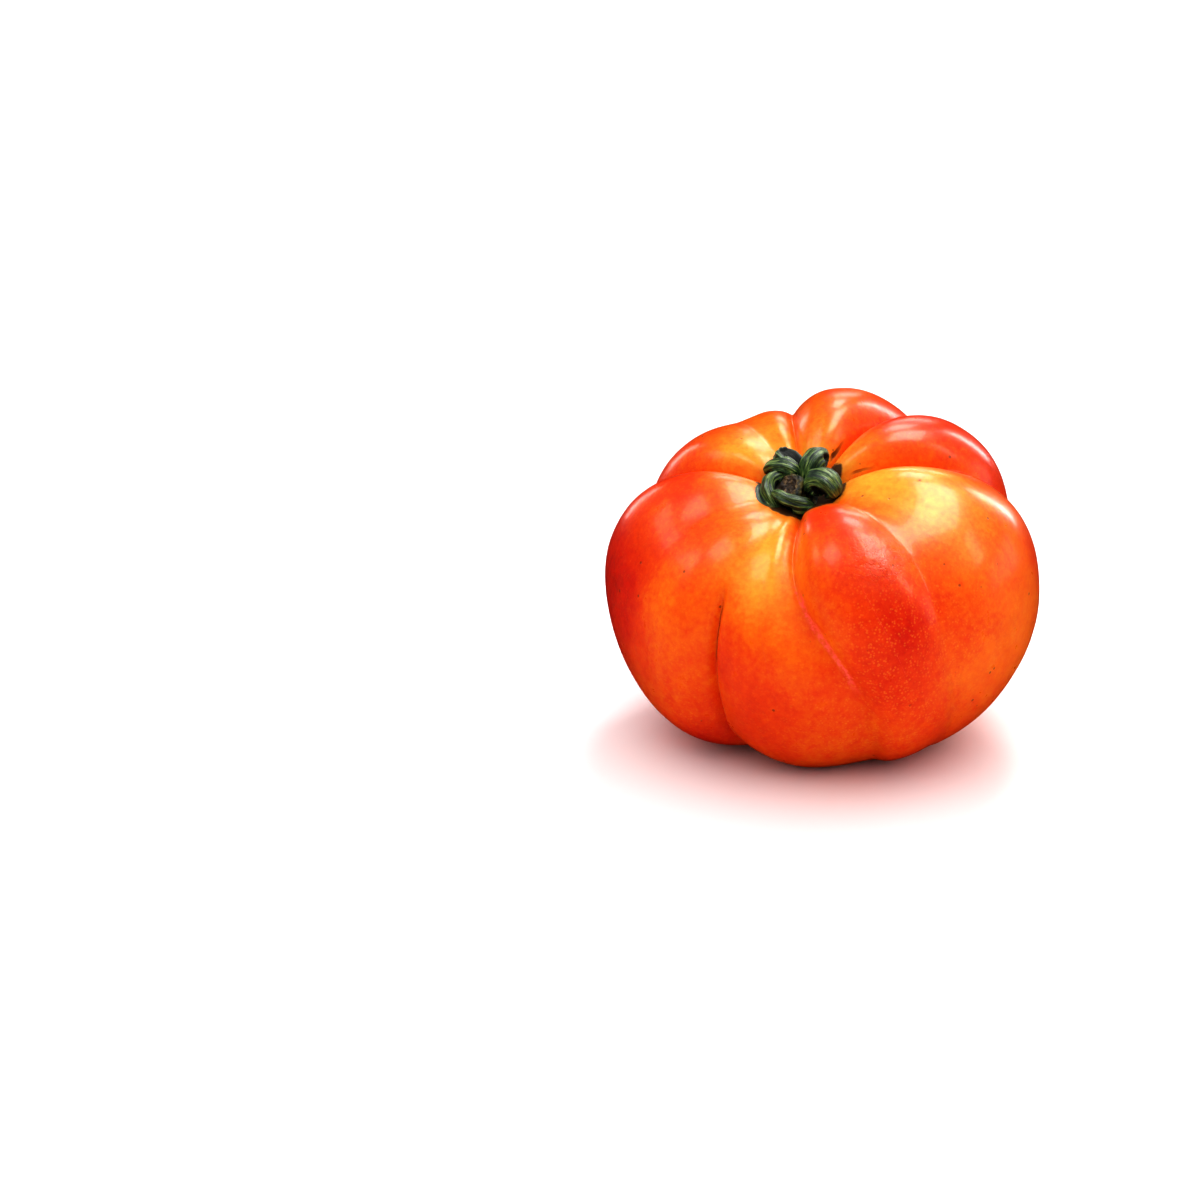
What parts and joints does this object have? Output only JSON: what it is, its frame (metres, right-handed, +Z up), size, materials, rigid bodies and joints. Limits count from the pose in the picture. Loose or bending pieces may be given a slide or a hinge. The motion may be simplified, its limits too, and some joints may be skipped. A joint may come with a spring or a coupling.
{
  "type": "tomato",
  "caption": "Large ribbed tomato with a curled green calyx and a broken stalk, resting on a small flat spot.",
  "frame": {"origin": "middle of the small flat spot on the underside that the fruit rests on", "axes": "+Z up, -Y towards the front, where the stem end leans; +X to the right"},
  "size_m": [0.0966, 0.0943, 0.0745],
  "materials": {
    "skin": "gloss",
    "sepal": "satin",
    "stalk": "matte"
  },
  "bodies": {
    "root": {"fruit": "skin", "stalk": "stalk", "front_sepal": "sepal", "right_sepal": "sepal", "back_right_sepal": "sepal", "back_left_sepal": "sepal", "left_sepal": "sepal", "front_left_sepal": "sepal"}
  },
  "joints": []
}
